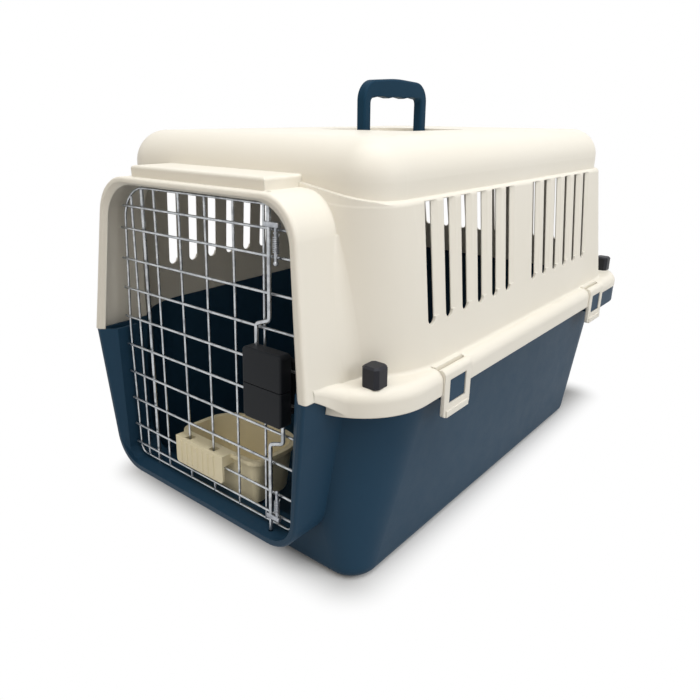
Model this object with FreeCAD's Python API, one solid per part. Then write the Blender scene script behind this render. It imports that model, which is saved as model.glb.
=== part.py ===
import FreeCAD, Part
import math
import os

# A pet carrier: two moulded shells bolted and clipped together at a flange, a wire door with a
# squeeze latch, a folding carry handle and a bowl hung inside the door. Sizes are in millimetres.
# X runs across, Y from the door (-) to the rear (+), Z up from the floor.

Vec = FreeCAD.Vector
ACROSS = Vec(1, 0, 0)
ALONG = Vec(0, 1, 0)
UP = Vec(0, 0, 1)
turned_over = 180.0

# Overall size of the closed carrier
overall_length = 691.0
flange_width = 438.0
ledge_height = 369.0
roof_rise = 51.0
parting_height = 207.0
hood_reach = 28.0
wall = 3.0
overrun = 40.0
match_tolerance = 0.05

# Flange where the shells meet
flange_radius = 75.0
flange_plate = 5.0
flange_edge_round = 11.0
flange_foot_round = 3.5
skirt_depth = 19.5
skirt_wall = 4.5
shell_clearance = 0.3
rim_plate = 4.0
rear_skirt_depth = 11.0
rear_lip_depth = 34.0
rear_lip_reach = 118.0
rear_lip_inset = 0.8
gusset_radius = 30.0
gusset_bury = 16.0
gusset_rise = 8.0
gusset_edge_round = 6.0

# Valley between the hood's side and the front corner
valley_radius = 30.0
valley_end_radius = 4.0
valley_end_drop = 28.0
valley_steps = 8
valley_bite = 0.08

# Walls, as insets from the flange outline
upper_rim_inset = 15.0
upper_ledge_inset = 30.0
upper_front_rim_inset = 16.5
upper_front_ledge_inset = 38.0
upper_rear_rim_inset = 44.0
upper_rear_ledge_inset = 79.0
upper_rim_radius = 100.0
upper_rear_rim_radius = 60.0
upper_ledge_radius = 45.0
lower_rim_inset = 16.0
lower_base_inset = 33.0
lower_front_base_inset = 14.0
lower_rear_rim_inset = 16.0
lower_rear_base_inset = 112.0
lower_base_radius = 27.0
base_round = 12.0

# Roof cap above the ledge
cap_inset = 6.0
cap_round = 36.0
ledge_round = 5.0

# Brow: the ledge's rise over the hood, and the flat visor between its peaks
brow_rise = 12.0
brow_peak_inset = 42.0
brow_foot_inset = 44.0
brow_fade = 16.0
brow_bite = 0.3
visor_rise = 19.0
visor_inset = 43.0
visor_setback = 26.0
visor_round = 3.0

# Hood round the doorway
hood_rise = 8.0
hood_top_inset = 79.0
hood_parting_inset = 55.0
hood_top_radius = 42.0
hood_lean = 5.3
hood_wall = 4.5
hood_depth = 130.0
lower_hood_parting_inset = 57.5
lower_hood_foot_inset = 76.0
lower_hood_foot = 40.0
lower_hood_radius = 40.0
hood_edge_round = 3.0

# Doorway: the straight tunnel the door stands in, and the flare to the hood's lip
doorway_drop = 8.0
doorway_top_inset = 9.5
doorway_parting_inset = 25.0
doorway_sill_inset = 10.0
doorway_sill = 48.0
doorway_top_radius = 42.0
doorway_sill_radius = 15.0
doorway_wall = 4.0
tunnel_ahead = 12.0
tunnel_behind = 14.0
lip_land = 6.0
lip_crown = 3.0
flare_overrun_share = 0.6
boss_radius = 6.0

# Vent slots
slot_width = 13.0
slot_rise = 46.0
slot_pitch_share = 0.04602
slots_in_group = 6
slot_group_shares = (0.19826, 0.52677)
rear_slot_count = 8
rear_slot_inset = 100.0
louvre_width = 8.5
louvre_depth = 2.2
ledge_plate = 3.0

# Door, measured up its own plane from the bottom frame wire
door_setback = 18.2
door_rake = 2.5
door_sill_gap = 4.8
door_top_gap = 3.0
door_foot_inset = 6.5
door_middle_inset = 8.0
door_top_inset = 8.0
door_middle_share = 0.4917
door_foot_radius = 10.0
door_middle_radius = 150.0
door_top_radius = 37.0
wire_radius = 1.3
weld_depth = 0.3
column_count = 6
first_column_inset = 15.7
last_column_inset = 37.3
row_count = 8
first_row = 36.1
top_row_drop = 44.0
low_guard_row = 12.3
high_guard_drop = 20.2
row_overhang = 4.5

# Hinge rod
rod_radius = 2.0
hinge_inset = 30.5
hinge_bite_top = 12.0
hinge_bite_sill = 7.0
pivot_clearance = 0.05

# Squeeze latch
latch_inset = 20.5
latch_level_share = 0.48276
latch_width = 50.0
latch_height = 70.0
latch_depth = 13.8
latch_gap = 0.4
latch_split = 1.0
latch_round = 2.0
latch_end_round = 4.5
slide_clearance = 0.3
guide_head_width = 20.0
guide_stem_width = 13.0
guide_stem_depth = 3.0
guide_head_depth = 5.5
guide_height = 58.0
guide_end_gap = 1.0
back_plate_width = 44.0
back_plate_height = 56.0
back_plate_thick = 3.0
back_plate_round = 6.0
screw_radius = 1.5
screw_head_radius = 3.0
screw_head_height = 1.6
screw_spacing = 12.0
screw_bite = 6.0

# Latch rods, yokes and springs
rod_layer = 6.4
leg_offset = 17.0
leg_bite = 22.0
crank_rise = 20.0
crank_slope_rise = 6.0
crank_radius = 4.5
rod_tip_gap = 1.0
keeper_clearance = 0.6
yoke_reach = 4.5
yoke_height = 5.0
yoke_depth = 5.2
yoke_from_tip = 13.0
yoke_round = 1.5
pin_offset = 8.5
pin_radius = 1.6
ball_radius = 2.3
collar_radius = 2.3
collar_height = 1.2
ball_past_row = 4.5
spring_mean_radius = 2.5
spring_wire_radius = 0.5
spring_turns = 8
spring_seat_gap = 0.3
spring_length = 19.5
spring_bend_radius = 1.5
coil_sample_shares = (0, 0.2, 0.4, 0.6, 0.8)

# Corner bolts and knobs
knob_inset_side = 31.0
knob_inset_end = 36.0
knob_width = 19.0
knob_height = 20.0
knob_corner_cut = 3.5
knob_top_cut = 2.0
bolt_radius = 3.0
bolt_head_radius = 5.5
bolt_head_height = 4.0
bolt_hole_clearance = 0.3
bolt_bite = 14.0

# Side clips
clip_from_lip = 156.5
clip_from_rear = 148.0
clip_width = 50.0
clip_plate = 4.0
clip_barrel_radius = 5.5
clip_pin_radius = 1.25
clip_pin_bite = 6.0
clip_proud = 2.0
clip_side_gap = 0.5
clip_back_gap = 0.6
window_width = 31.0
window_top_drop = 5.5
window_height = 25.0
clip_bar = 13.0
clip_bar_extra = 1.5
clip_corner_round = 4.0
pad_rise = 1.4
catch_side_gap = 0.8
catch_foot_gap = 0.8
catch_short = 1.0

# Carry handle and its recess
handle_length = 134.0
handle_rise = 59.0
handle_thick = 13.0
handle_leg = 13.0
handle_grip = 23.0
handle_shoulder_drop = 4.0
handle_shoulder_radius = 24.0
handle_crown_radius = 268.0
handle_inner_radius = 6.0
handle_edge_round = 3.0
handle_wave = 2.0
handle_waves = 3
pivot_depth = 8.0
handle_pin_radius = 3.0
handle_pin_length = 8.0
handle_end_gap = 0.5
recess_floor_gap = 0.7
recess_side_gap = 2.0
recess_radius = 14.0
lug_width = 18.0
lug_length = 12.0

# Food bowl
bowl_centre_x = 5.0
bowl_width = 126.0
bowl_depth = 80.0
bowl_height = 53.0
bowl_foot_inset = 6.0
bowl_front_radius = 14.0
bowl_rear_radius = 36.0
bowl_wall = 2.4
bowl_rim = 3.0
bowl_rim_height = 5.0
bowl_standoff = 5.0
bowl_row = 0
bowl_rim_above_row = 14.1
hanger_thick = 2.8
hanger_drop = 18.0
hanger_wire_gap = 0.3
hanger_side_gap = 3.0
hanger_first_column = 2
hanger_last_column = 3
hanger_overhang_left = 17.0
hanger_overhang_right = 21.0
hanger_round = 4.0
rib_radius = 1.4
rib_pitch = 9.0

# Places worked out from the sizes above
roof_height = ledge_height + roof_rise
brow_height = ledge_height + brow_rise
visor_height = ledge_height + visor_rise
hood_height = ledge_height + hood_rise
doorway_top = hood_height - doorway_drop
slot_foot = parting_height + slot_rise
slot_pitch = overall_length * slot_pitch_share
lip_y = -overall_length / 2
rear_y = overall_length / 2
flange_front = lip_y + hood_reach
flange_half = flange_width / 2
hood_half_parting = flange_half - hood_parting_inset
hood_half_top = flange_half - hood_top_inset
lower_hood_half_parting = flange_half - lower_hood_parting_inset
lower_hood_half_foot = flange_half - lower_hood_foot_inset
brow_peak_half = hood_half_top - brow_peak_inset
brow_foot_half = flange_half - brow_foot_inset
visor_half = hood_half_top - visor_inset
doorway_half_top = hood_half_top - doorway_top_inset
doorway_half_parting = hood_half_parting - doorway_parting_inset
doorway_half_sill = lower_hood_half_foot - doorway_sill_inset
door_half_foot = doorway_half_sill - door_foot_inset
door_half_middle = doorway_half_parting - door_middle_inset
door_half_top = doorway_half_top - door_top_inset
rear_slot_pitch = 2 * (flange_half - rear_slot_inset) / (rear_slot_count - 1)
flange_top = parting_height + flange_plate
skirt_foot = parting_height - skirt_depth
door_foot_z = doorway_sill + door_sill_gap
door_foot_y = lip_y + door_setback
rake_slope = math.tan(math.radians(door_rake))
hood_slope = math.tan(math.radians(hood_lean))
row_layer = 2 * wire_radius - weld_depth
grid_front = row_layer + wire_radius
hinge_layer = wire_radius + rod_radius - weld_depth
door_height = doorway_top - doorway_sill - door_sill_gap - door_top_gap
door_middle = door_height * door_middle_share
top_row = door_height - top_row_drop
high_guard_row = door_height - high_guard_drop
row_pitch = (top_row - first_row) / (row_count - 1)
first_column = first_column_inset - door_half_foot
column_pitch = (door_half_foot - last_column_inset - first_column) / (column_count - 1)
hinge_x = hinge_inset - door_half_foot
latch_x = door_half_top - latch_inset
latch_level = door_height * latch_level_share
pivot_height = roof_height - pivot_depth
latch_back = -grid_front - latch_gap
latch_face = latch_back - latch_depth
clip_pin_x = flange_half + clip_proud - clip_barrel_radius
clip_pin_z = flange_top - clip_barrel_radius
cap_front = flange_front + upper_front_ledge_inset + cap_inset
recess_half_length = handle_length / 2 + handle_end_gap
recess_half_width = handle_rise + pivot_depth + recess_side_gap
recess_floor = pivot_height - handle_thick / 2 - recess_floor_gap


def door_plane(z):
    """Y of the door's wires at a height."""
    return door_foot_y + (z - door_foot_z) * rake_slope


def upper_lip_plane(z):
    return lip_y + (z - parting_height) * hood_slope


def lower_lip_plane(z):
    return lip_y


def rounded_wire(points, radii):
    """Closed flat wire through the points, each corner rounded by its radius."""
    count = len(points)
    arcs = []
    for i in range(count):
        corner = points[i]
        back = (points[i - 1] - corner).normalize()
        ahead = (points[(i + 1) % count] - corner).normalize()
        half = back.getAngle(ahead) / 2
        run = radii[i] / math.tan(half)
        middle = (back + ahead).normalize() * (radii[i] / math.sin(half) - radii[i])
        arcs.append((corner + back * run, corner + middle, corner + ahead * run))
    edges = []
    for i in range(count):
        start, middle, end = arcs[i]
        if radii[i] > 0:
            edges.append(Part.Arc(start, middle, end).toShape())
        edges.append(Part.LineSegment(end, arcs[(i + 1) % count][0]).toShape())
    return Part.Wire(edges)


def plan_outline(z, half, front, rear, radius, rear_radius=None):
    """Rounded rectangle seen from above."""
    points = [Vec(-half, front, z), Vec(half, front, z), Vec(half, rear, z), Vec(-half, rear, z)]
    behind = rear_radius if rear_radius else radius
    return rounded_wire(points, [radius, radius, behind, behind])


def front_outline(corners, radii, plane):
    """Outline seen from the front, lying on a plane that gives Y at each height."""
    points = [Vec(x, plane(z), z) for x, z in corners]
    return rounded_wire(points, radii)


def loft(*wires):
    return Part.makeLoft(list(wires), True, True)


def prism(wire, direction):
    return Part.Face(wire).extrude(direction)


def centred_box(width, depth, height, centre, foot):
    """Box centred on a point in plan, standing on a height."""
    corner = Vec(centre.x - width / 2, centre.y - depth / 2, foot)
    return Part.makeBox(width, depth, height, corner)


def edges_where(shape, test):
    """Edges whose ends and middle all pass a test on their points."""
    found = []
    for edge in shape.Edges:
        middle = edge.valueAt((edge.FirstParameter + edge.LastParameter) / 2)
        if test(middle) and all(test(v.Point) for v in edge.Vertexes):
            found.append(edge)
    return found


def level(z):
    return lambda p: abs(p.z - z) < match_tolerance


def mirrored_across(shape):
    return shape.mirror(Vec(0, 0, 0), ACROSS)


def tube(points, bend, radius):
    """Bent wire: straight runs joined by arcs of one radius."""
    count = len(points)
    edges = []
    last = points[0]
    for i in range(1, count - 1):
        corner = points[i]
        back = (points[i - 1] - corner).normalize()
        ahead = (points[i + 1] - corner).normalize()
        half = back.getAngle(ahead) / 2
        run = bend / math.tan(half)
        middle = (back + ahead).normalize() * (bend / math.sin(half) - bend)
        edges.append(Part.LineSegment(last, corner + back * run).toShape())
        last = corner + ahead * run
        edges.append(Part.Arc(corner + back * run, corner + middle, last).toShape())
    edges.append(Part.LineSegment(last, points[-1]).toShape())
    path = Part.Wire(edges)
    section = Part.Wire([Part.makeCircle(radius, points[0], points[1] - points[0])])
    return path.makePipeShell([section], True, False)


def hang(shape):
    """Carry a shape from the door's own frame to its place in the doorway."""
    placed = shape.copy()
    lean = FreeCAD.Placement(Vec(0, door_foot_y, door_foot_z), FreeCAD.Rotation(ACROSS, -door_rake))
    placed.Placement = lean.multiply(placed.Placement)
    return placed


# Hood and doorway

def upper_corners(half_parting, half_top, top):
    foot = parting_height - overrun
    return [(-half_parting, foot), (half_parting, foot), (half_parting, parting_height),
            (half_top, top), (-half_top, top), (-half_parting, parting_height)]


def lower_corners(half_parting, half_foot, foot):
    top = parting_height + overrun
    return [(half_parting, top), (-half_parting, top), (-half_parting, parting_height),
            (-half_foot, foot), (half_foot, foot), (half_parting, parting_height)]


def grown(plane, reach):
    return lambda z: plane(z) + reach


def hood_block(upper, inset):
    """The hood's outline run back into the cabin, drawn in by an inset on all sides."""
    if upper:
        corners = upper_corners(hood_half_parting - inset, hood_half_top - inset, hood_height - inset)
        radius = hood_top_radius - inset
        plane = grown(upper_lip_plane, inset)
    else:
        corners = lower_corners(lower_hood_half_parting - inset, lower_hood_half_foot - inset,
                                lower_hood_foot + inset)
        radius = lower_hood_radius - inset
        plane = grown(lower_lip_plane, inset)
    radii = [0, 0, 0, radius, radius, 0]
    back = front_outline(corners, radii, lambda z: lip_y + hood_depth)
    return loft(front_outline(corners, radii, plane), back)


def on_trim(p):
    return abs(abs(p.z - parting_height) - overrun) < match_tolerance


def rounded_hood(upper, plane):
    """Half of the hood with its lip's arris rounded."""
    hood = hood_block(upper, 0)
    lip = edges_where(hood, lambda p: abs(p.y - plane(p.z)) < match_tolerance and not on_trim(p))
    return hood.makeFillet(hood_edge_round, lip).common(half_space(upper))


def doorway_pair(upper, grow):
    """Corner lists and corner radii of the doorway at the tunnel and at the lip."""
    lip_half = lower_hood_half_parting - lip_land + grow
    if upper:
        inner = upper_corners(doorway_half_parting + grow, doorway_half_top + grow, doorway_top + grow)
        outer = upper_corners(lip_half, hood_half_top - lip_land + grow, doorway_top + lip_crown + grow)
        return inner, outer, doorway_top_radius + grow, hood_top_radius - lip_land + grow
    inner = lower_corners(doorway_half_parting + grow, doorway_half_sill + grow, doorway_sill - grow)
    outer = lower_corners(lip_half, lower_hood_half_foot - lip_land + grow, doorway_sill - grow)
    return inner, outer, doorway_sill_radius + grow, lower_hood_radius - lip_land + grow


def doorway_block(upper, grow):
    """The doorway's air: the tunnel round the door and the flare out past the lip."""
    inner, outer, inner_radius, outer_radius = doorway_pair(upper, grow)
    tunnel_plane = grown(door_plane, -tunnel_ahead)
    lip_plane = upper_lip_plane if upper else lower_lip_plane
    past = 1 + flare_overrun_share
    narrow = [Vec(x, tunnel_plane(z), z) for x, z in inner]
    wide = [Vec(x, lip_plane(z), z) for x, z in outer]
    beyond = [a + (b - a) * past for a, b in zip(narrow, wide)]
    beyond_radius = inner_radius + (outer_radius - inner_radius) * past
    inner_radii = [0, 0, 0, inner_radius, inner_radius, 0]
    beyond_radii = [0, 0, 0, beyond_radius, beyond_radius, 0]
    flare = loft(rounded_wire(narrow, inner_radii), rounded_wire(beyond, beyond_radii))
    deep = front_outline(inner, inner_radii, grown(door_plane, tunnel_behind))
    tunnel = loft(rounded_wire(narrow, inner_radii), deep)
    return flare.fuse(tunnel)


def door_line(x, layer, low, high, radius):
    """Round bar up the door's plane, at a distance ahead (-) or behind (+) the wires."""
    return hang(Part.makeCylinder(radius, high - low, Vec(x, layer, low), UP))


def rod_holes():
    """Hinge bearings and latch keepers, cut through the tunnel's top and sill."""
    low = -door_sill_gap - overrun
    high = door_height + hinge_bite_top
    holes = [door_line(hinge_x, hinge_layer, low, high + pivot_clearance, rod_radius + pivot_clearance)]
    holes.append(door_line(latch_x, -rod_layer, low, high, rod_radius + keeper_clearance))
    return holes


def rod_bosses(upper):
    low, high = -overrun, latch_level
    if upper:
        low, high = latch_level, door_height + overrun
    return [door_line(hinge_x, hinge_layer, low, high, boss_radius),
            door_line(latch_x, -rod_layer, low, high, boss_radius)]


def half_space(upper):
    foot = parting_height if upper else -overrun
    height = roof_height if upper else parting_height + overrun
    size = 2 * overall_length
    return centred_box(size, size, height, Vec(0, 0, 0), foot)


# Shells

def rise_share_at(z):
    """Share of the way from the parting up to the ledge."""
    return (z - parting_height) / (ledge_height - parting_height)


def upper_section(z, rise_share, inset):
    """Wall outline of the upper shell, a share of the way from the flange up to the ledge."""
    def between(low, high):
        return low + (high - low) * rise_share
    half = flange_half - between(upper_rim_inset, upper_ledge_inset) - inset
    front = flange_front + between(upper_front_rim_inset, upper_front_ledge_inset) + inset
    rear = rear_y - between(upper_rear_rim_inset, upper_rear_ledge_inset) - inset
    radius = between(upper_rim_radius, upper_ledge_radius) - inset
    rear_radius = between(upper_rear_rim_radius, upper_ledge_radius) - inset
    return plan_outline(z, half, front, rear, radius, rear_radius)


def lower_section(z, rise_share, inset):
    def between(low, high):
        return low + (high - low) * rise_share
    half = flange_half - between(lower_base_inset, lower_rim_inset) - inset
    front = flange_front + between(lower_front_base_inset, upper_front_rim_inset) + inset
    rear = rear_y - between(lower_rear_base_inset, lower_rear_rim_inset) - inset
    return plan_outline(z, half, front, rear, between(lower_base_radius, upper_rim_radius) - inset)


def cap_block(inset, foot):
    """Roof cap with its rounded top edge."""
    total = cap_inset + inset
    outline = upper_section(foot, 1, total)
    block = prism(outline, UP * (roof_height - inset - foot))
    return block.makeFillet(cap_round - inset, edges_where(block, level(roof_height - inset)))


def brow_block():
    """The ledge's rise from the front corners up to the visor."""
    foot = ledge_height - 2 * ledge_round
    fade_half = brow_foot_half + brow_fade
    fade = ledge_height - ledge_round
    corners = [(-fade_half, foot), (fade_half, foot), (fade_half, fade), (brow_foot_half, ledge_height),
               (brow_peak_half, brow_height), (-brow_peak_half, brow_height),
               (-brow_foot_half, ledge_height), (-fade_half, fade)]
    outline = front_outline(corners, [0] * len(corners), lambda z: flange_front)
    wedge = prism(outline, ALONG * (cap_front + cap_round - flange_front))
    sections = [upper_section(z, rise_share_at(z), brow_bite) for z in (foot, roof_height)]
    return wedge.common(loft(*sections))


def visor_block(inset):
    """Flat visor from behind the hood's lip into the cap, drawn in by an inset."""
    front = lip_y + visor_setback + inset
    half = visor_half - inset
    top = visor_height - inset
    corner = Vec(-half, front, ledge_height)
    block = Part.makeBox(2 * half, cap_front + cap_round - front, top - ledge_height, corner)
    if inset > 0:
        return block
    return block.makeFillet(visor_round, edges_where(block, level(top)))


def flange_outline(z, inset):
    return plan_outline(z, flange_half - inset, flange_front + inset, rear_y - inset, flange_radius - inset)


def under_flange():
    """Space under the flange that the tub's rim fills."""
    return prism(flange_outline(skirt_foot - overrun, skirt_wall), UP * (skirt_depth + overrun))


def rear_end(foot, top):
    """Space round the carrier's rear corners between two heights."""
    return centred_box(2 * flange_width, 2 * rear_lip_reach, top - foot, Vec(0, rear_y, 0), foot)


def flange_block():
    """Flange and skirt, the skirt shorter round the rear."""
    block = prism(flange_outline(skirt_foot, 0), UP * (flange_top - skirt_foot))
    block = block.makeFillet(flange_edge_round, edges_where(block, level(flange_top)))
    return block.cut([under_flange(), rear_end(skirt_foot - overrun, parting_height - rear_skirt_depth)])


def gusset_section(centre, angle, turned_share):
    """Upright section of the flange's swept end, at an angle round the sweep's centre."""
    out = Vec(math.cos(angle), math.sin(angle), 0)
    face = centre + out * gusset_radius
    deep = centre + out * (gusset_radius + gusset_bury)
    foot = UP * (skirt_foot + (parting_height - skirt_foot) * turned_share)
    top = UP * (flange_top + gusset_rise * turned_share)
    bend = flange_edge_round + (gusset_edge_round - flange_edge_round) * turned_share
    slant = bend / math.sqrt(2)
    start = face + top - UP * bend
    middle = face + top + out * (bend - slant) - UP * (bend - slant)
    end = face + top + out * bend
    points = [end, deep + top, deep + foot, face + foot, start]
    sides = [Part.LineSegment(a, b).toShape() for a, b in zip(points, points[1:])]
    return Part.Wire([Part.Arc(start, middle, end).toShape()] + sides)


def flange_gussets():
    """Ends of the flange that sweep up and forward along the hood's sides."""
    turn = flange_radius + gusset_radius
    across = hood_half_parting + gusset_radius - flange_half + flange_radius
    ahead = math.sqrt(turn * turn - across * across)
    centre = Vec(hood_half_parting + gusset_radius, flange_front + flange_radius - ahead, 0)
    start = math.atan2(ahead, -across)
    sections = []
    for turned_share in (0, 1 / 2, 1):
        sections.append(gusset_section(centre, start + (math.pi - start) * turned_share, turned_share))
    gusset = Part.makeLoft(sections, True).cut(under_flange())
    return [gusset, mirrored_across(gusset)]


def hood_side(z):
    """Half width of the upper hood at a height, round its top corner too."""
    rise = hood_height - parting_height
    narrowing = hood_half_parting - hood_half_top
    corner_run = hood_top_radius * (math.hypot(rise, narrowing) - narrowing) / rise
    if z < hood_height - corner_run * rise / math.hypot(rise, narrowing):
        return hood_half_parting - narrowing * (z - parting_height) / rise
    above = z - hood_height + hood_top_radius
    return hood_half_top - corner_run + math.sqrt(hood_top_radius * hood_top_radius - above * above)


def valley_section(z, radius):
    """Plan section of the hollow that joins the hood's side to the front corner."""
    share = rise_share_at(z)
    corner_radius = upper_rim_radius + (upper_ledge_radius - upper_rim_radius) * share
    front = flange_front + upper_front_rim_inset + (upper_front_ledge_inset - upper_front_rim_inset) * share
    pivot = Vec(wall_half(z) - corner_radius, front + corner_radius, z)
    start_x = hood_side(z) - valley_bite
    across = start_x + radius - pivot.x
    span = corner_radius - valley_bite + radius
    centre = Vec(start_x + radius, pivot.y - math.sqrt(span * span - across * across), z)
    out = (pivot - centre).normalize()
    start = centre - ACROSS * radius
    end = centre + out * radius
    middle = centre + (out - ACROSS).normalize() * radius
    deep = Vec(start.x - valley_bite, end.y + valley_bite, z)
    sides = [Part.LineSegment(a, b).toShape() for a, b in ((end, deep), (deep, start))]
    return Part.Wire([Part.Arc(start, middle, end).toShape()] + sides)


def hood_valleys():
    """Hollows in the corners between the hood and the body, fading out under the brow."""
    foot = flange_top - flange_plate / 2
    end = ledge_height - valley_end_drop
    sections = []
    for k in range(valley_steps + 1):
        share = k / valley_steps
        radius = valley_radius + (valley_end_radius - valley_radius) * share * share
        sections.append(valley_section(foot + (end - foot) * share, radius))
    valley = loft(*sections)
    return [valley, mirrored_across(valley)]


def flange_band(foot, height, outer, inner):
    """Upright band that follows the flange's outline between two insets."""
    hole = prism(flange_outline(foot - overrun, inner), UP * (height + 2 * overrun))
    return prism(flange_outline(foot, outer), UP * height).cut(hole)


def rear_lip():
    """Finger lip that hangs from the tub's rim and shows below the short rear skirt."""
    hidden = skirt_wall + shell_clearance
    foot = parting_height - rear_lip_depth
    hung = flange_band(foot, rear_lip_depth, hidden, hidden + wall)
    drop = rear_lip_depth - rear_skirt_depth - shell_clearance
    shown = flange_band(foot, drop, rear_lip_inset, hidden + wall)
    return hung.fuse(shown).common(rear_end(foot, parting_height))


def knob_places():
    front = flange_front + knob_inset_end
    rear = rear_y - knob_inset_end
    side = flange_half - knob_inset_side
    return {"front_left": Vec(-side, front, 0), "front_right": Vec(side, front, 0),
            "rear_left": Vec(-side, rear, 0), "rear_right": Vec(side, rear, 0)}


def clip_places():
    """Side (-1 left, +1 right) and Y of each clip."""
    front = lip_y + clip_from_lip
    rear = rear_y - clip_from_rear
    return {"front_left": (-1, front), "front_right": (1, front),
            "rear_left": (-1, rear), "rear_right": (1, rear)}


def bolt_holes():
    radius = bolt_radius + bolt_hole_clearance
    foot = parting_height - overrun
    return [Part.makeCylinder(radius, 2 * overrun, Vec(p.x, p.y, foot), UP) for p in knob_places().values()]


def clip_notches():
    """Gaps in the flange where the clips hang, on both sides."""
    notches = []
    inner = clip_pin_x - clip_barrel_radius - clip_back_gap
    width = clip_width + 2 * clip_side_gap
    for side, y in clip_places().values():
        block = Part.makeBox(overrun, width, 2 * overrun, Vec(inner, y - width / 2, parting_height - overrun))
        notches.append(block if side > 0 else mirrored_across(block))
    return notches


def clip_pin(side, y, radius):
    length = clip_width + 2 * clip_pin_bite
    pin = Part.makeCylinder(radius, length, Vec(clip_pin_x, y - length / 2, clip_pin_z), ALONG)
    return pin if side > 0 else mirrored_across(pin)


def wall_half(z):
    """Half width of the upper shell's wall at a height."""
    return flange_half - upper_rim_inset - (upper_ledge_inset - upper_rim_inset) * rise_share_at(z)


def slot_louvre(y, foot, top):
    """Slope in the wall's face that leads into a slot from behind."""
    edge = y + slot_width / 2
    face = wall_half(foot)
    points = [Vec(face - louvre_depth, y, foot), Vec(face - louvre_depth, edge, foot),
              Vec(face + louvre_depth, edge + 2 * louvre_width, foot), Vec(face + louvre_depth, y, foot)]
    lean = Vec(wall_half(top) - face, 0, top - foot)
    return prism(rounded_wire(points, [0] * len(points)), lean)


def side_slots():
    """Vents through both side walls, square under the ledge and round at the foot."""
    cuts = []
    reach = 2 * flange_width
    top = ledge_height - ledge_plate
    foot = slot_foot + slot_width / 2
    for group_share in slot_group_shares:
        for k in range(slots_in_group):
            y = lip_y + overall_length * group_share + k * slot_pitch
            cuts.append(centred_box(reach, slot_width, top - foot, Vec(0, y, 0), foot))
            cuts.append(Part.makeCylinder(slot_width / 2, reach, Vec(-flange_width, y, foot), ACROSS))
            louvre = slot_louvre(y, foot, top)
            cuts += [louvre, mirrored_across(louvre)]
    return cuts


def hinge_pads():
    """Raised strips on the flange behind the clips."""
    pads = []
    start = flange_half - upper_rim_inset - wall
    for side, y in clip_places().values():
        corner = Vec(start, y - clip_width / 2, parting_height)
        pad = Part.makeBox(upper_rim_inset, clip_width, flange_plate + pad_rise, corner)
        pads.append(pad if side > 0 else mirrored_across(pad))
    return pads


def rear_slots():
    cuts = []
    start = rear_y - upper_rear_ledge_inset - upper_ledge_radius
    top = ledge_height - ledge_plate
    foot = slot_foot + slot_width / 2
    for k in range(rear_slot_count):
        x = (k - (rear_slot_count - 1) / 2) * rear_slot_pitch
        corner = Vec(x - slot_width / 2, start, foot)
        cuts.append(Part.makeBox(slot_width, overall_length, top - foot, corner))
        cuts.append(Part.makeCylinder(slot_width / 2, overall_length, Vec(x, start, foot), ALONG))
    return cuts


def recess_pan(grow):
    """Block of the roof recess, grown by a wall or left as the air inside."""
    half_length = recess_half_length + grow
    outline = plan_outline(recess_floor - grow, recess_half_width + grow, -half_length, half_length,
                           recess_radius + grow)
    top = roof_height + overrun if grow == 0 else roof_height - wall / 2
    return prism(outline, UP * (top - recess_floor + grow))


def recess_lugs():
    lugs = []
    for end in (-1, 1):
        centre = Vec(0, end * (recess_half_length + lug_length / 2), 0)
        foot = recess_floor - wall
        lugs.append(centred_box(lug_width, lug_length, roof_height - wall / 2 - foot, centre, foot))
    return lugs


def handle_bores():
    length = 2 * (recess_half_length + handle_pin_length + handle_end_gap)
    radius = handle_pin_radius + pivot_clearance
    return Part.makeCylinder(radius, length, Vec(0, -length / 2, pivot_height), ALONG)


def make_upper_shell():
    foot = parting_height - overrun
    body = loft(upper_section(parting_height, 0, 0), upper_section(ledge_height, 1, 0))
    body = body.makeFillet(ledge_round, edges_where(body, level(ledge_height)))
    outer = body.fuse(flange_block()).removeSplitter()
    foot_edges = edges_where(outer, level(flange_top))
    foot_half = flange_half - upper_rim_inset
    inner_edges = [e for e in foot_edges if e.BoundBox.XMax < foot_half and e.BoundBox.XMin > -foot_half]
    outer = outer.makeFillet(flange_foot_round, inner_edges)
    cap = cap_block(0, ledge_height - cap_inset)
    hood = rounded_hood(True, upper_lip_plane)
    added = [hood, cap, brow_block(), visor_block(0)] + flange_gussets() + hood_valleys() + hinge_pads()
    outer = outer.fuse(added).removeSplitter()
    air = loft(upper_section(foot, 0, wall), upper_section(parting_height, 0, wall),
               upper_section(ledge_height - ledge_plate, 1, wall))
    air = air.fuse([hood_block(True, hood_wall), visor_block(wall),
                    cap_block(wall, ledge_height - cap_inset - overrun / 2)])
    kept = doorway_block(True, doorway_wall).fuse(rod_bosses(True)).common(half_space(True))
    air = air.cut(kept)
    lower_hood = hood_block(False, -shell_clearance).common(half_space(False))
    shell = outer.cut([air, lower_hood])
    shell = shell.fuse([recess_pan(wall)] + recess_lugs())
    cuts = [doorway_block(True, 0), recess_pan(0), handle_bores()]
    return shell.cut(cuts + rod_holes() + side_slots() + rear_slots() + bolt_holes() + clip_notches()
                     + [clip_pin(s, y, clip_pin_radius) for s, y in clip_places().values()])


def catch_block(side, y):
    """Moulded catch that fills the clip's window."""
    top = clip_pin_z - window_top_drop - catch_foot_gap
    foot = clip_pin_z - window_top_drop - window_height + catch_foot_gap
    face = flange_half + clip_proud - catch_short
    start = flange_half - lower_base_inset
    width = window_width - 2 * catch_side_gap
    block = Part.makeBox(face - start, width, top - foot, Vec(start, y - width / 2, foot))
    return block if side > 0 else mirrored_across(block)


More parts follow.
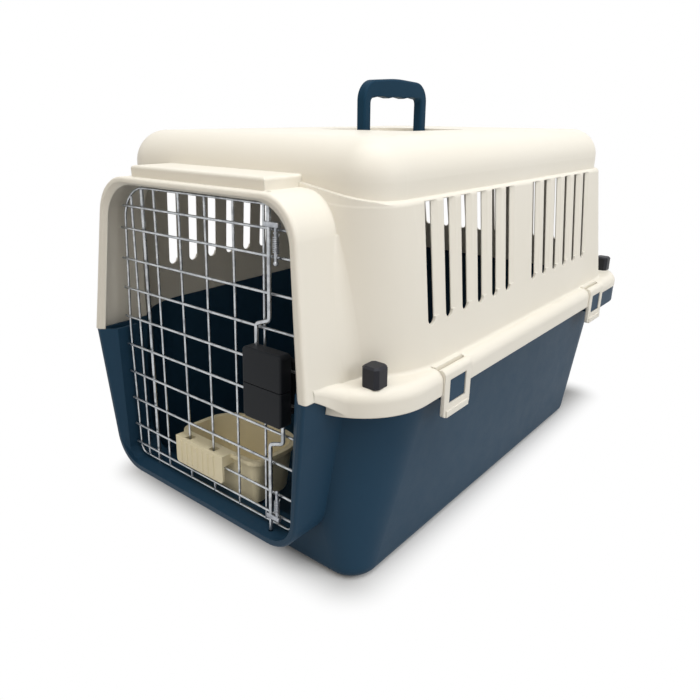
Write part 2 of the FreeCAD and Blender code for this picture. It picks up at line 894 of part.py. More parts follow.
def make_lower_shell():
    body = loft(lower_section(0, 0, 0), lower_section(parting_height, 1, 0))
    body = body.makeFillet(base_round, edges_where(body, level(0)))
    rim = prism(flange_outline(parting_height - rim_plate, skirt_wall + shell_clearance), UP * rim_plate)
    outer = body.fuse([rim, rear_lip(), rounded_hood(False, lower_lip_plane)]).removeSplitter()
    outer = outer.cut(bolt_holes() + clip_notches())
    outer = outer.fuse([catch_block(s, y) for s, y in clip_places().values()])
    air = loft(lower_section(wall, 0, wall), lower_section(parting_height, 1, wall),
               lower_section(parting_height + overrun, 1, wall))
    air = air.makeFillet(base_round - wall, edges_where(air, level(wall)))
    air = air.fuse(hood_block(False, hood_wall))
    kept = doorway_block(False, doorway_wall).fuse(rod_bosses(False)).common(half_space(False))
    air = air.cut(kept)
    return outer.cut([air, doorway_block(False, 0)] + rod_holes())


# Corner bolts, knobs and clips

def make_corner_bolts():
    bolts = []
    under = parting_height - rim_plate
    for place in knob_places().values():
        head = Part.makeCylinder(bolt_head_radius, bolt_head_height,
                                 Vec(place.x, place.y, under - bolt_head_height), UP)
        length = flange_top + bolt_bite - under
        shank = Part.makeCylinder(bolt_radius, length, Vec(place.x, place.y, under), UP)
        bolts.append(head.fuse(shank))
    return Part.makeCompound(bolts)


def make_knob(place):
    """Square plastic nut with cut corners and a blind hole for its bolt."""
    half = knob_width / 2
    near = half - knob_corner_cut
    points = [(-near, -half), (near, -half), (half, -near), (half, near),
              (near, half), (-near, half), (-half, near), (-half, -near)]
    corners = [Vec(place.x + x, place.y + y, flange_top) for x, y in points]
    knob = prism(rounded_wire(corners, [0] * len(corners)), UP * knob_height)
    knob = knob.makeChamfer(knob_top_cut, edges_where(knob, level(flange_top + knob_height)))
    hole = Part.makeCylinder(bolt_radius + pivot_clearance, bolt_bite + pivot_clearance,
                             Vec(place.x, place.y, flange_top), UP)
    return knob.cut(hole)


def make_clip(side, y):
    """Plate on a barrel, with a window that drops over the catch."""
    face = flange_half + clip_proud
    foot = clip_pin_z - window_top_drop - window_height - clip_bar
    back = face - clip_plate
    low, high = y - clip_width / 2, y + clip_width / 2
    outline = [Vec(back, low, clip_pin_z), Vec(back, low, foot),
               Vec(back, high, foot), Vec(back, high, clip_pin_z)]
    plate = prism(rounded_wire(outline, [0, clip_corner_round, clip_corner_round, 0]), ACROSS * clip_plate)
    axis_start = Vec(clip_pin_x, low, clip_pin_z)
    barrel = Part.makeCylinder(clip_barrel_radius, clip_width, axis_start, ALONG)
    bar = Part.makeBox(clip_bar_extra, clip_width - 2 * clip_corner_round, clip_bar / 2,
                       Vec(face, low + clip_corner_round, foot))
    clip = plate.fuse([barrel, bar])
    window_foot = clip_pin_z - window_top_drop - window_height
    window = Part.makeBox(2 * overrun, window_width, window_height,
                          Vec(face - overrun, y - window_width / 2, window_foot))
    bore = Part.makeCylinder(clip_pin_radius + pivot_clearance, clip_width, axis_start, ALONG)
    clip = clip.cut([window, bore])
    return clip if side > 0 else mirrored_across(clip)


def make_clip_pins():
    return Part.makeCompound([clip_pin(s, y, clip_pin_radius) for s, y in clip_places().values()])


# Carry handle

def make_handle():
    """Arched grip with finger waves, on two legs that end in pivot pins."""
    top = roof_height + handle_rise
    half = handle_length / 2
    inner = half - handle_leg
    shoulder = top - handle_shoulder_drop
    under = top - handle_grip
    side = -handle_thick / 2
    outline = [Vec(side, -half, pivot_height), Vec(side, -half, shoulder), Vec(side, 0, top),
               Vec(side, half, shoulder), Vec(side, half, pivot_height), Vec(side, inner, pivot_height),
               Vec(side, inner, under), Vec(side, -inner, under), Vec(side, -inner, pivot_height)]
    bends = [0, handle_shoulder_radius, handle_crown_radius, handle_shoulder_radius, 0,
             0, handle_inner_radius, handle_inner_radius, 0]
    arch = prism(rounded_wire(outline, bends), ACROSS * handle_thick)
    arch = arch.makeFillet(handle_edge_round, handle_long_edges(arch))
    span = 2 * (inner - handle_inner_radius) / handle_waves
    wave_radius = (span * span / 4 + handle_wave * handle_wave) / (2 * handle_wave)
    waves = []
    for k in range(handle_waves):
        y = (k - (handle_waves - 1) / 2) * span
        centre = Vec(side, y, under + handle_wave - wave_radius)
        waves.append(Part.makeCylinder(wave_radius, handle_thick, centre, ACROSS))
    keep_below = Part.makeBox(handle_thick, 2 * inner, handle_wave, Vec(side, -inner, under))
    arch = arch.cut([wave.common(keep_below) for wave in waves])
    parts = []
    for end in (-1, 1):
        leg_start = -half if end < 0 else inner
        parts.append(Part.makeCylinder(handle_thick / 2, handle_leg, Vec(0, leg_start, pivot_height), ALONG))
        pin_start = -half - handle_pin_length if end < 0 else half
        pin_end = Vec(0, pin_start, pivot_height)
        parts.append(Part.makeCylinder(handle_pin_radius, handle_pin_length, pin_end, ALONG))
    return arch.fuse(parts).removeSplitter()


def handle_long_edges(arch):
    """The arch's arrises on both faces, the feet of the legs left out."""
    side = handle_thick / 2
    found = edges_where(arch, lambda p: abs(abs(p.x) - side) < match_tolerance)
    return [e for e in found if e.BoundBox.ZMax > pivot_height + match_tolerance]


# Door

def door_corners():
    return [(-door_half_foot, 0), (door_half_foot, 0), (door_half_middle, door_middle),
            (door_half_top, door_height), (-door_half_top, door_height), (-door_half_middle, door_middle)]


def door_radii():
    return [door_foot_radius, door_foot_radius, door_middle_radius, door_top_radius, door_top_radius,
            door_middle_radius]


def door_half_at(height):
    """Half width of the door's frame at a height, corner arcs left out."""
    if height < door_middle:
        return door_half_foot + (door_half_middle - door_half_foot) * height / door_middle
    share = (height - door_middle) / (door_height - door_middle)
    return door_half_middle + (door_half_top - door_half_middle) * share


def corner_drop(x):
    """How far the frame's top bends down at a place across the door."""
    past = abs(x) - (door_half_top - door_top_radius)
    if past <= 0:
        return 0
    return door_top_radius - math.sqrt(door_top_radius ** 2 - past ** 2)


def make_door_frame():
    """Bent wire round the door's edge."""
    corners = [Vec(x, 0, z) for x, z in door_corners()]
    path = rounded_wire(corners, door_radii())
    start = path.Edges[0].Curve.value(path.Edges[0].FirstParameter)
    heading = path.Edges[0].tangentAt(path.Edges[0].FirstParameter)
    section = Part.Wire([Part.makeCircle(wire_radius, start, heading)])
    return hang(path.makePipeShell([section], True, False))


def make_uprights():
    wires = []
    for k in range(column_count):
        x = first_column + k * column_pitch
        wires.append(Part.makeCylinder(wire_radius, door_height - corner_drop(x), Vec(x, 0, 0), UP))
    return hang(Part.makeCompound(wires))


def row_heights():
    rows = [first_row + k * row_pitch for k in range(row_count)]
    return [low_guard_row] + rows + [high_guard_row]


def row_half(height):
    """Half length of a cross wire, drawn in where the frame's top corners bend."""
    half = door_half_at(height)
    into_corner = height - (door_height - door_top_radius)
    if into_corner > 0:
        half -= door_top_radius - math.sqrt(door_top_radius ** 2 - into_corner ** 2)
    return half + row_overhang


def make_cross_wires():
    wires = []
    for height in row_heights():
        half = row_half(height)
        wires.append(Part.makeCylinder(wire_radius, 2 * half, Vec(-half, -row_layer, height), ACROSS))
    return hang(Part.makeCompound(wires))


def make_hinge_rod():
    low = -door_sill_gap - hinge_bite_sill
    return door_line(hinge_x, hinge_layer, low, door_height + hinge_bite_top, rod_radius)


# Latch, in the door's own frame until it is hung

def make_guide_block():
    """T-shaped rail that both grips slide on."""
    foot = latch_level - guide_height / 2
    stem = Part.makeBox(guide_stem_width, guide_stem_depth + latch_gap, guide_height,
                        Vec(latch_x - guide_stem_width / 2, latch_back - guide_stem_depth, foot))
    head_face = latch_back - guide_stem_depth - guide_head_depth
    head = Part.makeBox(guide_head_width, guide_head_depth, guide_height,
                        Vec(latch_x - guide_head_width / 2, head_face, foot))
    block = stem.fuse(head).removeSplitter()
    return hang(block.cut(latch_screw_bars(screw_radius)))


def latch_screw_bars(radius):
    start = wire_radius + latch_gap
    bars = []
    for end in (-1, 1):
        place = Vec(latch_x, start + back_plate_thick, latch_level + end * screw_spacing / 2)
        length = back_plate_thick + start + grid_front + latch_gap + screw_bite
        bars.append(Part.makeCylinder(radius, length, place, ALONG * -1))
    return bars


def make_back_plate():
    foot = latch_level - back_plate_height / 2
    start = wire_radius + latch_gap
    half = back_plate_width / 2
    top = foot + back_plate_height
    outline = [Vec(latch_x - half, start, foot), Vec(latch_x + half, start, foot),
               Vec(latch_x + half, start, top), Vec(latch_x - half, start, top)]
    plate = prism(rounded_wire(outline, [back_plate_round] * len(outline)), ALONG * back_plate_thick)
    return hang(plate.cut(latch_screw_bars(screw_radius)))


def make_latch_screws():
    screws = []
    back = wire_radius + latch_gap + back_plate_thick
    for bar in latch_screw_bars(screw_radius):
        centre = bar.BoundBox.Center
        head = Part.makeCylinder(screw_head_radius, screw_head_height, Vec(centre.x, back, centre.z), ALONG)
        screws.append(bar.fuse(head))
    return hang(Part.makeCompound(screws))


def latch_leg_x(upper):
    return latch_x - leg_offset if upper else latch_x + leg_offset


def make_grip(upper):
    """Half of the latch body: a block with a slot that runs on the guide rail."""
    seam = latch_level + latch_split / 2
    far = latch_level + latch_height / 2
    corner = Vec(latch_x - latch_width / 2, latch_face, seam)
    block = Part.makeBox(latch_width, latch_depth, far - seam, corner)
    ends = [e for e in edges_where(block, level(far)) if e.BoundBox.YLength > latch_gap]
    block = block.makeFillet(latch_end_round, ends)
    front = edges_where(block, lambda p: abs(p.y - latch_face) < match_tolerance)
    block = block.makeFillet(latch_round, [e for e in front if e.BoundBox.ZMax > seam + match_tolerance])
    reach = guide_height / 2 + guide_end_gap
    stem = Part.makeBox(guide_stem_width + 2 * slide_clearance, overrun, reach,
                        Vec(latch_x - guide_stem_width / 2 - slide_clearance,
                            latch_back - guide_stem_depth, latch_level))
    head = Part.makeBox(guide_head_width + 2 * slide_clearance, guide_head_depth + 2 * slide_clearance, reach,
                        Vec(latch_x - guide_head_width / 2 - slide_clearance,
                            latch_back - guide_stem_depth - guide_head_depth - slide_clearance, latch_level))
    leg_top = Vec(latch_x - leg_offset, -rod_layer, far + overrun)
    leg = Part.makeCylinder(rod_radius, leg_bite + overrun, leg_top, UP * -1)
    block = block.cut([stem, head, leg])
    if not upper:
        block.rotate(Vec(latch_x, 0, latch_level), ALONG, turned_over)
    return hang(block)


def rod_tip(upper):
    """Height of a drawn rod's tip, just inside the doorway."""
    if upper:
        corner = abs(latch_x) - (doorway_half_top - doorway_top_radius)
        drop = 0
        if corner > 0:
            drop = doorway_top_radius - math.sqrt(doorway_top_radius ** 2 - corner ** 2)
        return doorway_top - drop - door_foot_z - rod_tip_gap
    return -door_sill_gap + rod_tip_gap


def make_latch_rod(upper):
    """Cranked wire from its grip to the doorway's edge."""
    turn = 1 if upper else -1
    leg_x = latch_leg_x(upper)
    grip_end = latch_level + turn * latch_height / 2
    points = [Vec(leg_x, -rod_layer, grip_end - turn * leg_bite),
              Vec(leg_x, -rod_layer, grip_end + turn * crank_rise),
              Vec(latch_x, -rod_layer, grip_end + turn * (crank_rise + crank_slope_rise)),
              Vec(latch_x, -rod_layer, rod_tip(upper))]
    return hang(tube(points, crank_radius, rod_radius))


def spring_row(upper):
    """Cross wire that a spring bears on."""
    return top_row if upper else first_row


def make_yoke(upper):
    """Cross piece on a rod's end, with the ball-ended pin that guides the spring."""
    turn = 1 if upper else -1
    far = rod_tip(upper) - turn * yoke_from_tip
    near = far - turn * yoke_height
    foot = min(far, near)
    pin_x = latch_x + pin_offset
    width = pin_offset + 2 * yoke_reach
    bar = Part.makeBox(width, yoke_depth, yoke_height,
                       Vec(latch_x - yoke_reach, -rod_layer - yoke_depth / 2, foot))
    bar = bar.makeFillet(yoke_round, bar.Edges)
    row = spring_row(upper)
    ball_at = row - turn * ball_past_row
    pin = Part.makeCylinder(pin_radius, abs(near - ball_at), Vec(pin_x, -rod_layer, ball_at), UP * turn)
    ball = Part.makeSphere(ball_radius, Vec(pin_x, -rod_layer, ball_at))
    seat = spring_start(upper) + turn * spring_length
    collar = Part.makeCylinder(collar_radius, collar_height, Vec(pin_x, -rod_layer, seat), UP * turn)
    rod_bore = Part.makeCylinder(rod_radius, 2 * overrun, Vec(latch_x, -rod_layer, foot - overrun), UP)
    return hang(bar.cut(rod_bore).fuse([pin, ball, collar]).removeSplitter())


def spring_start(upper):
    turn = 1 if upper else -1
    return spring_row(upper) + turn * (wire_radius + spring_seat_gap)


def biarc(start, heading, end, aim):
    """Two tangent arcs from one point and heading to another."""
    gap = end - start
    lean = heading + aim
    along = gap.dot(lean)
    square = 2 * (1 - heading.dot(aim))
    reach = (-along + math.sqrt(along * along + square * gap.dot(gap))) / square
    first = start + heading * reach
    second = end - aim * reach
    joint = (first + second) / 2
    return [tangent_arc(start, heading, joint), tangent_arc(end, aim * -1, joint)]


def tangent_arc(start, heading, end):
    """Arc that leaves a point along a heading and ends at another point."""
    chord = end - start
    side = chord - heading * chord.dot(heading)
    side.normalize()
    radius = chord.dot(chord) / (2 * chord.dot(side))
    centre = start + side * radius
    out = (start - centre + end - centre).normalize()
    return Part.Arc(start, centre + out * radius, end).toShape()


def spring_path():
    """Coil of half-turn biarcs, with each end bent to run straight along the coil's axis."""
    bend = spring_bend_radius
    run = 2 * spring_wire_radius
    rise = spring_length - 2 * (run + bend)
    steps = 2 * spring_turns
    stations = [(Vec(spring_mean_radius, -bend, run), UP)]
    slope = rise / (2 * math.pi * spring_mean_radius * spring_turns)
    for k in range(steps + 1):
        angle = math.pi * k
        place = Vec(spring_mean_radius * math.cos(angle), spring_mean_radius * math.sin(angle),
                    run + bend + rise * k / steps)
        heading = Vec(-math.sin(angle), math.cos(angle), slope).normalize()
        stations.append((place, heading))
    stations.append((Vec(spring_mean_radius, bend, spring_length - run), UP))
    edges = [Part.LineSegment(Vec(spring_mean_radius, -bend, 0), stations[0][0]).toShape()]
    for (a, head_a), (b, head_b) in zip(stations, stations[1:]):
        edges += biarc(a, head_a, b, head_b)
    edges.append(Part.LineSegment(stations[-1][0], Vec(spring_mean_radius, bend, spring_length)).toShape())
    return edges


def coil_gap(edges):
    """Least gap between the coil and itself, half a turn or more apart."""
    samples = []
    length = 0
    for edge in edges:
        span = edge.LastParameter - edge.FirstParameter
        for share in coil_sample_shares:
            samples.append((length + edge.Length * share, edge.valueAt(edge.FirstParameter + span * share)))
        length += edge.Length
    half_turn = math.pi * spring_mean_radius
    gaps = [p.distanceToPoint(q) for s, p in samples for t, q in samples if t - s > half_turn]
    return min(gaps) - 2 * spring_wire_radius


def make_spring(upper):
    edges = [Part.Edge(e) for e in Part.sortEdges(spring_path())[0]]
    print("least gap of the coil", round(coil_gap(edges), 2))
    section = Part.Wire([Part.makeCircle(spring_wire_radius, edges[0].valueAt(edges[0].FirstParameter), UP)])
    coil = Part.Wire(edges).makePipeShell([section], True, False)
    if not upper:
        coil.rotate(Vec(0, 0, 0), ACROSS, turned_over)
    coil.translate(Vec(latch_x + pin_offset, -rod_layer, spring_start(upper)))
    return hang(coil)


# Food bowl, in the door's own frame until it is hung

def bowl_outline(height, inset):
    half = bowl_width / 2 - inset
    points = [Vec(bowl_centre_x - half, bowl_standoff + inset, height),
              Vec(bowl_centre_x + half, bowl_standoff + inset, height),
              Vec(bowl_centre_x + half, bowl_standoff + bowl_depth - inset, height),
              Vec(bowl_centre_x - half, bowl_standoff + bowl_depth - inset, height)]
    front = bowl_front_radius - inset
    rear = bowl_rear_radius - inset
    return rounded_wire(points, [front, front, rear, rear])


def make_bowl():
    row = first_row + bowl_row * row_pitch
    rim = row + bowl_rim_above_row
    foot = rim - bowl_height
    body = loft(bowl_outline(foot, bowl_rim + bowl_foot_inset), bowl_outline(rim, bowl_rim))
    band = prism(bowl_outline(rim - bowl_rim_height, 0), UP * bowl_rim_height)
    inset = bowl_rim + bowl_wall
    air = loft(bowl_outline(foot + bowl_wall, inset + bowl_foot_inset), bowl_outline(rim, inset),
               bowl_outline(rim + overrun, inset))
    return hang(body.fuse([band, make_hanger(row, rim)]).cut(air).removeSplitter())


def make_hanger(row, rim):
    """Ribbed plate in front of a cross wire, on straps that reach back between the upright wires."""
    columns = [first_column + k * column_pitch for k in range(hanger_first_column, hanger_last_column + 1)]
    left = columns[0] - hanger_overhang_left
    right = columns[-1] + hanger_overhang_right
    front = -grid_front - slide_clearance - hanger_thick
    foot = row - hanger_drop
    outline = [Vec(left, front, foot), Vec(right, front, foot), Vec(right, front, rim), Vec(left, front, rim)]
    plate = prism(rounded_wire(outline, [hanger_round, hanger_round, 0, 0]), ALONG * hanger_thick)
    pieces = []
    for k in range(1, int((right - left) / rib_pitch)):
        start = Vec(left + k * rib_pitch, front, foot + hanger_round)
        pieces.append(Part.makeCylinder(rib_radius, rim - foot - 2 * hanger_round, start, UP))
    gap = wire_radius + hanger_side_gap
    starts = [left] + [x + gap for x in columns]
    ends = [x - gap for x in columns] + [right]
    reach = bowl_standoff + bowl_rim + bowl_wall - front
    over = row + wire_radius + hanger_wire_gap
    for start, end in zip(starts, ends):
        pieces.append(Part.makeBox(end - start, reach, hanger_thick, Vec(start, front, rim - hanger_thick)))
        for x in (start, end - hanger_thick):
            pieces.append(Part.makeBox(hanger_thick, reach, rim - over, Vec(x, front, over)))
    return plate.fuse(pieces)


def make_parts():
    parts = {
        "lower_shell": make_lower_shell(),
        "upper_shell": make_upper_shell(),
        "corner_bolts": make_corner_bolts(),
        "clip_pins": make_clip_pins(),
        "carry_handle": make_handle(),
        "door_frame": make_door_frame(),
        "door_upright_wires": make_uprights(),
        "door_cross_wires": make_cross_wires(),
        "hinge_rod": make_hinge_rod(),
        "latch_guide_block": make_guide_block(),
        "latch_back_plate": make_back_plate(),
        "latch_screws": make_latch_screws(),
        "food_bowl": make_bowl(),
    }
    for name, upper in (("upper", True), ("lower", False)):
        parts[name + "_latch_grip"] = make_grip(upper)
        parts[name + "_latch_rod"] = make_latch_rod(upper)
        parts[name + "_rod_yoke"] = make_yoke(upper)
        parts[name + "_latch_spring"] = make_spring(upper)
    for name, (side, y) in clip_places().items():
        parts[name + "_clip"] = make_clip(side, y)
    for name, place in knob_places().items():
        parts[name + "_knob"] = make_knob(place)
    return parts


os.makedirs("parts", exist_ok=True)
for name, shape in make_parts().items():
    shape.exportStep("parts/" + name + ".step")
    print(name, len(shape.Solids), "solids", shape.isValid(), round(shape.Volume / 1000, 2), "cm3")
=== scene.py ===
import math
import bpy
import bmesh
from mathutils import Matrix, Vector

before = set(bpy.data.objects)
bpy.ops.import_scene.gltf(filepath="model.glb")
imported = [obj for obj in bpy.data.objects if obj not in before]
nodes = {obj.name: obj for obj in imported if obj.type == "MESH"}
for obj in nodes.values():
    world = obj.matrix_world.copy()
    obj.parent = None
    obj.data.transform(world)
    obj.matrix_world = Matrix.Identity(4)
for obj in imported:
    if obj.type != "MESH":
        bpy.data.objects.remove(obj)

scene = bpy.context.scene
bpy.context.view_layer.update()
print("frame loaded,", len(nodes), "nodes")

white = (1.0, 1.0, 1.0)
evenly = (1.0, 1.0, 1.0)
nothing = (0.0, 0.0, 0.0)
# the sRGB curve, which turns 0-255 picture values into linear light
transfer = {"top": 255.0, "knee": 10, "slope": 12.92, "offset": 0.055, "power": 2.4}


def linearTone(value):
    share = value / transfer["top"]
    if value <= transfer["knee"]:
        return share / transfer["slope"]
    return ((share + transfer["offset"]) / (1.0 + transfer["offset"])) ** transfer["power"]


def opaque(tones):
    return tuple(tones) + (1.0,)


def grey(tone):
    return opaque((tone, tone, tone))


def toLinear(shade):
    return opaque(linearTone(value) for value in shade)


class Sock:
    # one socket, so that shader maths reads as an expression
    def __init__(self, wiring, socket):
        self.wiring = wiring
        self.socket = socket

    def math(self, operation, first, second, clamp=False):
        settings = {"operation": operation, "use_clamp": clamp}
        return self.wiring.node("ShaderNodeMath", settings, {0: first, 1: second})

    def __add__(self, other):
        return self.math("ADD", self, other)

    def __radd__(self, other):
        return self.math("ADD", other, self)

    def __sub__(self, other):
        return self.math("SUBTRACT", self, other)

    def __rsub__(self, other):
        return self.math("SUBTRACT", other, self)

    def __mul__(self, other):
        return self.math("MULTIPLY", self, other)

    def __rmul__(self, other):
        return self.math("MULTIPLY", other, self)

    def clamped(self):
        return self.math("ADD", self, 0.0, clamp=True)


# where a Mix node keeps its colour sockets, which share their names with its other ones
mixColour = {"amount": 0, "first": 6, "second": 7, "result": 2}


class Wiring:
    # the nodes of one material or of the world
    def __init__(self, owner, outputKind):
        owner.use_nodes = True
        self.owner = owner
        self.outputKind = outputKind
        self.tree = owner.node_tree
        self.tree.nodes.clear()

    def node(self, kind, settings=None, sockets=None, out=0):
        made = self.tree.nodes.new(kind)
        for key, value in (settings or {}).items():
            if key == "stops":
                for element, (place, tone) in zip(made.color_ramp.elements, value):
                    element.position = place
                    element.color = grey(tone)
            else:
                setattr(made, key, value)
        for key, value in (sockets or {}).items():
            if isinstance(value, Sock):
                self.tree.links.new(value.socket, made.inputs[key])
            else:
                made.inputs[key].default_value = value
        return Sock(self, made.outputs[out]) if made.outputs else None

    def surface(self, shader):
        self.node(self.outputKind, {}, {"Surface": shader})
        return self.owner

    def noise(self, look, stretch=evenly):
        coords = self.node("ShaderNodeTexCoord", out="Object")
        placed = self.node("ShaderNodeMapping", {}, {"Vector": coords, "Scale": stretch})
        return self.node("ShaderNodeTexNoise", {}, {
            "Vector": placed, "Scale": look["scale"], "Detail": look["detail"], "Roughness": look["rough"]})

    def ramp(self, value, stops):
        return self.node("ShaderNodeValToRGB", {"stops": stops}, {"Fac": value})

    def blendColour(self, amount, first, second):
        sockets = {mixColour["amount"]: amount, mixColour["first"]: first, mixColour["second"]: second}
        return self.node("ShaderNodeMix", {"data_type": "RGBA"}, sockets, mixColour["result"])

    def vectorMath(self, operation, first, second, out="Vector"):
        return self.node("ShaderNodeVectorMath", {"operation": operation}, {0: first, 1: second}, out)

    def mixShader(self, amount, first, second):
        return self.node("ShaderNodeMixShader", {}, {0: amount, 1: first, 2: second})

    def shown(self):
        # 1 where the eye, a reflection or a clear piece sees the surface
        direct = self.node("ShaderNodeLightPath", out="Is Camera Ray")
        mirrored = self.node("ShaderNodeLightPath", out="Is Glossy Ray")
        through = self.node("ShaderNodeLightPath", out="Is Transmission Ray")
        return (direct + mirrored + through).clamped()


def newFinish(name):
    return Wiring(bpy.data.materials.new(name), "ShaderNodeOutputMaterial")


# moulded plastics: a fine spark-eroded grain, slow shade changes, paler worn arrises
creamShell = {"colour": (231, 226, 215), "shade": (223, 217, 202), "wear": (241, 238, 230),
              "rough": 0.46, "gloss": 0.36, "grain": 0.00006, "arris": 0.0016}
navyShell = {"colour": (31, 61, 83), "shade": (26, 52, 71), "wear": (66, 94, 116),
             "rough": 0.50, "gloss": 0.16, "grain": 0.00008, "arris": 0.0005}
navyGrip = {"colour": (23, 54, 75), "shade": (17, 43, 61), "wear": (48, 78, 100),
            "rough": 0.50, "gloss": 0.07, "grain": 0.00005, "arris": 0.0010}
blackMoulding = {"colour": (24, 27, 31), "shade": (18, 20, 24), "wear": (52, 56, 62),
                 "rough": 0.46, "gloss": 0.16, "grain": 0.00006, "arris": 0.0009}
blackKnob = {"colour": (40, 41, 47), "shade": (32, 33, 38), "wear": (70, 72, 80),
             "rough": 0.46, "gloss": 0.20, "grain": 0.00006, "arris": 0.0009}
tanBowl = {"colour": (232, 222, 190), "shade": (218, 206, 170), "wear": (245, 238, 210),
           "rough": 0.40, "gloss": 0.36, "grain": 0.00004, "arris": 0.0010}
# marks that every moulding shares: cooling patches, flow lines, rubbed spots and the tool's grain
moulding = {"patches": {"scale": 7.0, "detail": 3.0, "rough": 0.55},
            "flow": {"scale": 5.0, "detail": 2.0, "rough": 0.5}, "flowStretch": (1.0, 1.0, 0.16),
            "rub": {"scale": 42.0, "detail": 4.0, "rough": 0.65},
            "grain": {"scale": 1900.0, "detail": 2.0, "rough": 0.6},
            "arrisSamples": 6, "arrisStops": [(0.02, 0.0), (0.16, 1.0)],
            "rubStops": [(0.35, 0.15), (0.7, 0.6)], "shadeStops": [(0.34, 0.0), (0.66, 1.0)],
            "patchShare": 0.6, "flowShare": 0.4, "shadeAmount": 0.35, "rubRough": 0.16, "grainRough": 0.06,
            "meanRough": 0.11, "grainStrength": 0.55, "refraction": 1.49}


def mouldedPlastic(name, look):
    finish = newFinish(name)
    edge = finish.node("ShaderNodeBevel", {"samples": moulding["arrisSamples"]}, {"Radius": look["arris"]})
    straight = finish.node("ShaderNodeNewGeometry", out="Normal")
    facing = finish.vectorMath("DOT_PRODUCT", edge, straight, "Value")
    worn = finish.ramp(1.0 - facing, moulding["arrisStops"])
    patches = finish.noise(moulding["patches"])
    flow = finish.noise(moulding["flow"], moulding["flowStretch"])
    rub = finish.noise(moulding["rub"])
    grain = finish.noise(moulding["grain"])
    marks = patches * moulding["patchShare"] + flow * moulding["flowShare"]
    mottle = finish.ramp(marks, moulding["shadeStops"])
    base = finish.blendColour(mottle, toLinear(look["shade"]), toLinear(look["colour"]))
    base = finish.blendColour(moulding["shadeAmount"], toLinear(look["colour"]), base)
    rubbed = (worn * finish.ramp(rub, moulding["rubStops"])).clamped()
    tint = finish.blendColour(rubbed, base, toLinear(look["wear"]))
    roughened = rub * moulding["rubRough"] + grain * moulding["grainRough"]
    rough = roughened + (look["rough"] - moulding["meanRough"])
    bump = finish.node("ShaderNodeBump", {}, {
        "Strength": moulding["grainStrength"], "Distance": look["grain"], "Height": grain, "Normal": edge})
    shader = finish.node("ShaderNodeBsdfPrincipled", {}, {
        "Base Color": tint, "Roughness": rough.clamped(), "Normal": bump,
        "IOR": moulding["refraction"], "Specular IOR Level": look["gloss"]})
    return finish.surface(shader)


# zinc plate: drawn lines along the wire, dull bloom here and there
zincWire = {"bright": (196, 199, 202), "dull": (150, 154, 158), "rough": 0.26}
zincSteel = {"bright": (186, 189, 194), "dull": (138, 142, 148), "rough": 0.30}
plating = {"bloom": {"scale": 120.0, "detail": 4.0, "rough": 0.6}, "bloomStops": [(0.42, 0.0), (0.72, 1.0)],
           "drawn": {"scale": 900.0, "detail": 2.0, "rough": 0.5}, "drawnStretch": (1.0, 1.0, 0.04),
           "bloomRough": 0.22, "drawnRough": 0.10, "meanRough": 0.05,
           "drawnStrength": 0.4, "drawnDepth": 0.00003}


def platedSteel(name, look):
    finish = newFinish(name)
    dull = finish.ramp(finish.noise(plating["bloom"]), plating["bloomStops"])
    drawn = finish.noise(plating["drawn"], plating["drawnStretch"])
    tint = finish.blendColour(dull, toLinear(look["bright"]), toLinear(look["dull"]))
    roughened = dull * plating["bloomRough"] + drawn * plating["drawnRough"]
    rough = roughened + (look["rough"] - plating["meanRough"])
    bump = finish.node("ShaderNodeBump", {}, {
        "Strength": plating["drawnStrength"], "Distance": plating["drawnDepth"], "Height": drawn})
    shader = finish.node("ShaderNodeBsdfPrincipled", {}, {
        "Base Color": tint, "Metallic": 1.0, "Roughness": rough.clamped(), "Normal": bump})
    return finish.surface(shader)


finishes = {
    "cream": mouldedPlastic("creamShell", creamShell),
    "navy": mouldedPlastic("navyShell", navyShell),
    "grip": mouldedPlastic("navyGrip", navyGrip),
    "black": mouldedPlastic("blackMoulding", blackMoulding),
    "knob": mouldedPlastic("blackKnob", blackKnob),
    "tan": mouldedPlastic("tanBowl", tanBowl),
    "wire": platedSteel("zincWire", zincWire),
    "steel": platedSteel("zincSteel", zincSteel),
}
wornBy = {
    "cream": ["upper_shell", "front_left_clip", "front_right_clip", "rear_left_clip", "rear_right_clip"],
    "navy": ["lower_shell"],
    "grip": ["carry_handle"],
    "black": ["latch_guide_block", "latch_back_plate", "upper_latch_grip", "lower_latch_grip"],
    "knob": ["front_left_knob", "front_right_knob", "rear_left_knob", "rear_right_knob"],
    "tan": ["food_bowl"],
    "wire": ["door_frame", "door_upright_wires", "door_cross_wires", "hinge_rod",
             "upper_latch_rod", "lower_latch_rod"],
    "steel": ["corner_bolts", "clip_pins", "latch_screws", "upper_latch_spring", "lower_latch_spring",
              "upper_rod_yoke", "lower_rod_yoke"],
}
for finishName, nodeNames in wornBy.items():
    for nodeName in nodeNames:
        mesh = nodes[nodeName].data
        mesh.materials.clear()
        mesh.materials.append(finishes[finishName])
print("finishes on", sum(len(names) for names in wornBy.values()), "nodes")


# by the carrier's foot the eye sees a darker grey diffuse floor, painted shade that hugs the foot on top of
# the rendered shadow, and a short way out a plain white glow
# the pale floor is the one that throws light back on the carrier
studioFloor = {"half": 9.0, "drop": 0.0005, "glow": 1.0, "pale": 0.58, "paintedShadeFloor": 0.66,
               "foot": (0.165, 0.29, 0.0), "shadowReach": 0.06}


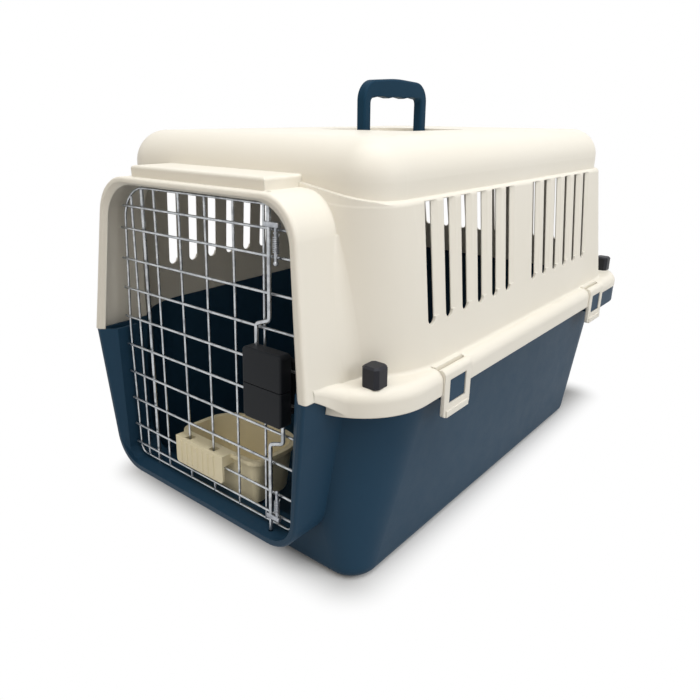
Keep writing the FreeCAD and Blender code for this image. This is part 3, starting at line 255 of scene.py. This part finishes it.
def paleFloor():
    mesh = bpy.data.meshes.new("studioFloor")
    build = bmesh.new()
    bmesh.ops.create_grid(build, x_segments=1, y_segments=1, size=studioFloor["half"])
    build.to_mesh(mesh)
    build.free()
    floor = bpy.data.objects.new("studioFloor", mesh)
    floor.location.z = -studioFloor["drop"]
    scene.collection.objects.link(floor)
    finish = newFinish("studioFloor")
    glow = finish.node("ShaderNodeEmission", {}, {"Color": opaque(white), "Strength": studioFloor["glow"]})
    matt = finish.node("ShaderNodeBsdfDiffuse", {}, {"Color": grey(studioFloor["pale"])})
    # painted shade: the floor by the foot is a grey diffuse, darker than the white glow even where no shadow
    # falls
    paintedShadeFloor = finish.node("ShaderNodeBsdfDiffuse", {}, {"Color": grey(studioFloor["paintedShadeFloor"])})
    coords = finish.node("ShaderNodeTexCoord", out="Object")
    folded = finish.vectorMath("ABSOLUTE", coords, nothing)
    outside = finish.vectorMath("SUBTRACT", folded, studioFloor["foot"])
    beyond = finish.vectorMath("MAXIMUM", outside, nothing)
    away = finish.vectorMath("LENGTH", beyond, nothing, "Value")
    # painted shadow mask: 0 at the foot's outline, fading to 1 over shadowReach, where the grey floor gives
    # way to the white glow
    shadeFadeOut = finish.node("ShaderNodeMapRange", {"interpolation_type": "SMOOTHSTEP"},
                       {"Value": away, "From Min": 0.0, "From Max": studioFloor["shadowReach"]})
    seenFloor = finish.mixShader(shadeFadeOut, paintedShadeFloor, glow)
    mesh.materials.append(finish.surface(finish.mixShader(finish.shown(), matt, seenFloor)))


studioWorld = {"tint": (1.0, 0.945, 0.87), "ambient": 0.39, "backdrop": 1.0}


def whiteWorld():
    world = bpy.data.worlds.new("studioWorld")
    wiring = Wiring(world, "ShaderNodeOutputWorld")
    soft = wiring.node("ShaderNodeBackground", {}, {"Color": opaque(studioWorld["tint"]),
                                                    "Strength": studioWorld["ambient"]})
    plain = wiring.node("ShaderNodeBackground", {}, {"Color": opaque(white),
                                                     "Strength": studioWorld["backdrop"]})
    wiring.surface(wiring.mixShader(wiring.shown(), soft, plain))
    scene.world = world


softBoxes = {
    "topBox": {"place": (0.45, -0.2, 2.4), "target": (0.0, 0.0, 0.2), "size": (2.0, 2.0), "power": 40.0,
               "tint": (0.95, 0.98, 1.0)},
    "rightBox": {"place": (2.3, 0.1, 1.2), "target": (0.0, 0.0, 0.2), "size": (1.6, 1.4), "power": 17.0,
                 "tint": (0.96, 0.98, 1.0)},
    "frontBox": {"place": (0.4, -1.7, 1.9), "target": (0.0, -0.2, 0.2), "size": (1.0, 1.0), "power": 8.0,
                 "tint": (1.0, 0.91, 0.80)},
}


def hangSoftBox(name, look):
    lamp = bpy.data.lights.new(name, "AREA")
    lamp.shape = "RECTANGLE"
    lamp.size, lamp.size_y = look["size"]
    lamp.energy = look["power"]
    lamp.color = look["tint"]
    box = bpy.data.objects.new(name, lamp)
    box.location = look["place"]
    box.rotation_euler = (Vector(look["target"]) - Vector(look["place"])).to_track_quat("-Z", "Y").to_euler()
    scene.collection.objects.link(box)


# where the picture was taken from, in metres and degrees
pictureCamera = {"place": (0.494775, -0.695807, 0.438089), "azimuth": 38.964, "elevation": 20.503,
                 "roll": 0.342, "lens": 32.494, "sensor": 36.0, "near": 0.01, "upright": 90.0}


def turned(degrees, axis, rows=4):
    return Matrix.Rotation(math.radians(degrees), rows, axis)


def standCamera():
    camera = bpy.data.cameras.new("pictureCamera")
    camera.sensor_width = pictureCamera["sensor"]
    camera.lens = pictureCamera["lens"]
    camera.clip_start = pictureCamera["near"]
    stand = bpy.data.objects.new("pictureCamera", camera)
    turn = turned(pictureCamera["azimuth"], "Z")
    tilt = turned(pictureCamera["upright"] - pictureCamera["elevation"], "X")
    roll = turned(pictureCamera["roll"], "Z")
    stand.matrix_world = Matrix.Translation(pictureCamera["place"]) @ turn @ tilt @ roll
    scene.collection.objects.link(stand)
    scene.camera = stand


paleFloor()
whiteWorld()
for boxName, boxLook in softBoxes.items():
    hangSoftBox(boxName, boxLook)
standCamera()
scene.view_settings.view_transform = "Standard"
print("studio and camera ready")
